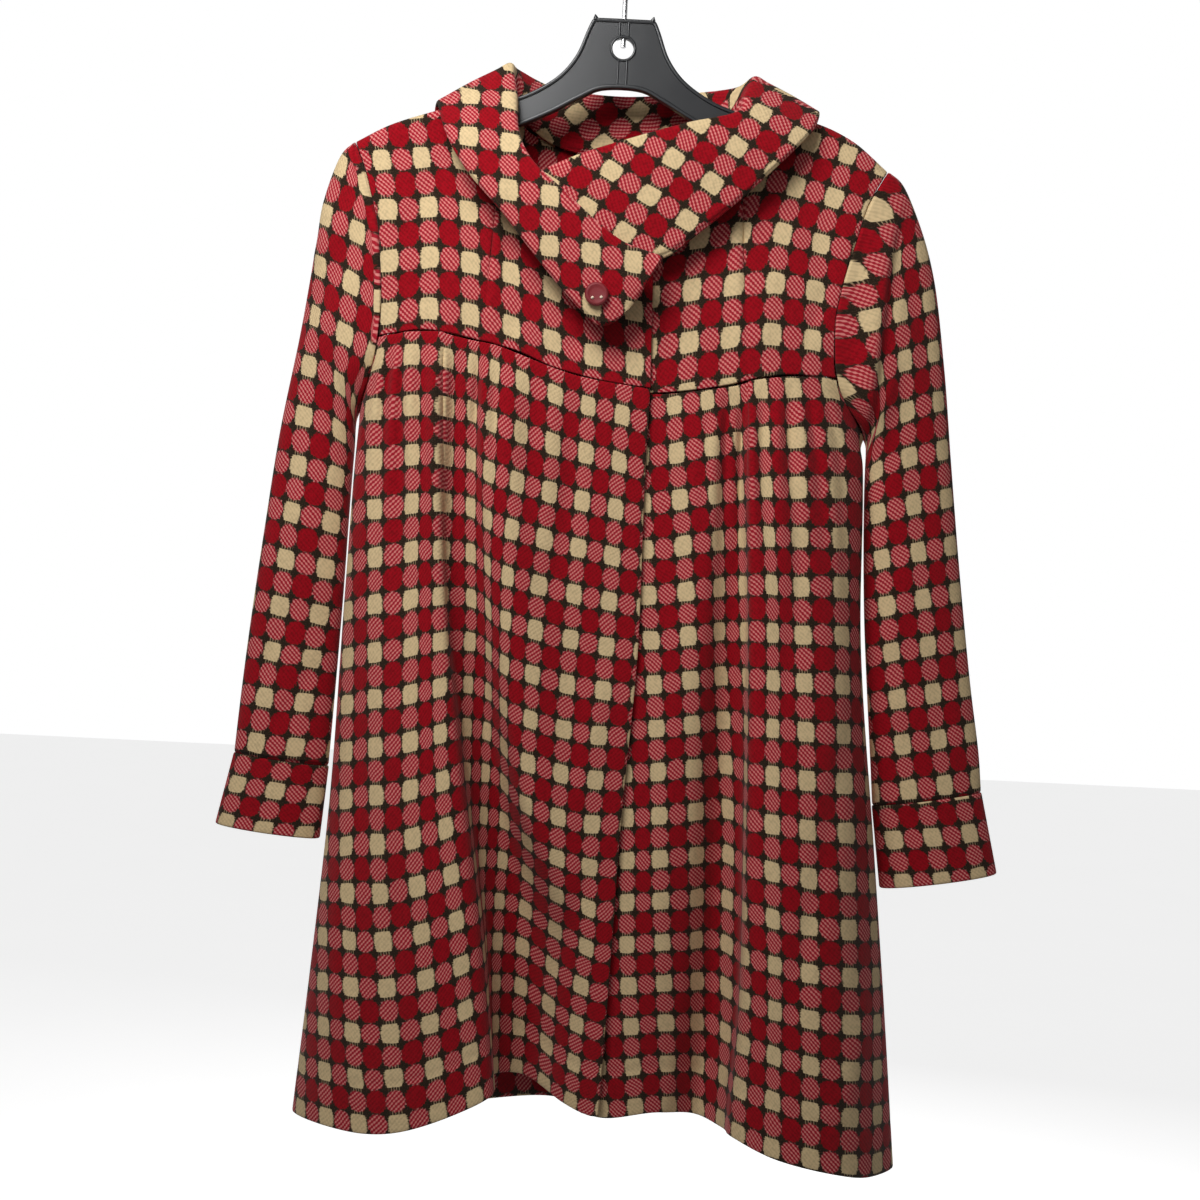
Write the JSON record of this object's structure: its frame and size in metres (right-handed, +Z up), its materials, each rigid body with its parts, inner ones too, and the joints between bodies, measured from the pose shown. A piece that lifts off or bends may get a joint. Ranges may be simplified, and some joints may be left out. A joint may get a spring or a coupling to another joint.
{
  "type": "swing coat on a plastic hanger",
  "caption": "Checked wool swing coat, full and open at the hem, with a wide folded collar, curved yokes and turned cuffs, hung on a flat plastic hanger with a metal hook.",
  "frame": {"origin": "inner top of the hanger's hook, where a rod or a nail holds it", "axes": "+Z up, the coat's front faces -Y, +X to the viewer's right, which is the wearer's left"},
  "size_m": [0.6132, 0.1675, 0.9616],
  "materials": {
    "checked_wool": "matt napped wool woven in a red, cream and dark olive check",
    "button_red": "satin red with two cream stitches",
    "black_plastic": "satin black moulding",
    "hook_steel": "bright plated wire"
  },
  "bodies": {
    "root": {"front_yoke_right": "checked_wool", "front_yoke_left": "checked_wool", "front_skirt_right": "checked_wool", "front_skirt_left": "checked_wool", "back": "checked_wool", "sleeve_right": "checked_wool", "sleeve_left": "checked_wool", "cuff_right": "checked_wool", "cuff_left": "checked_wool", "collar": "checked_wool", "button": "button_red", "hanger": "black_plastic", "hanger_hook": "hook_steel"}
  },
  "joints": []
}
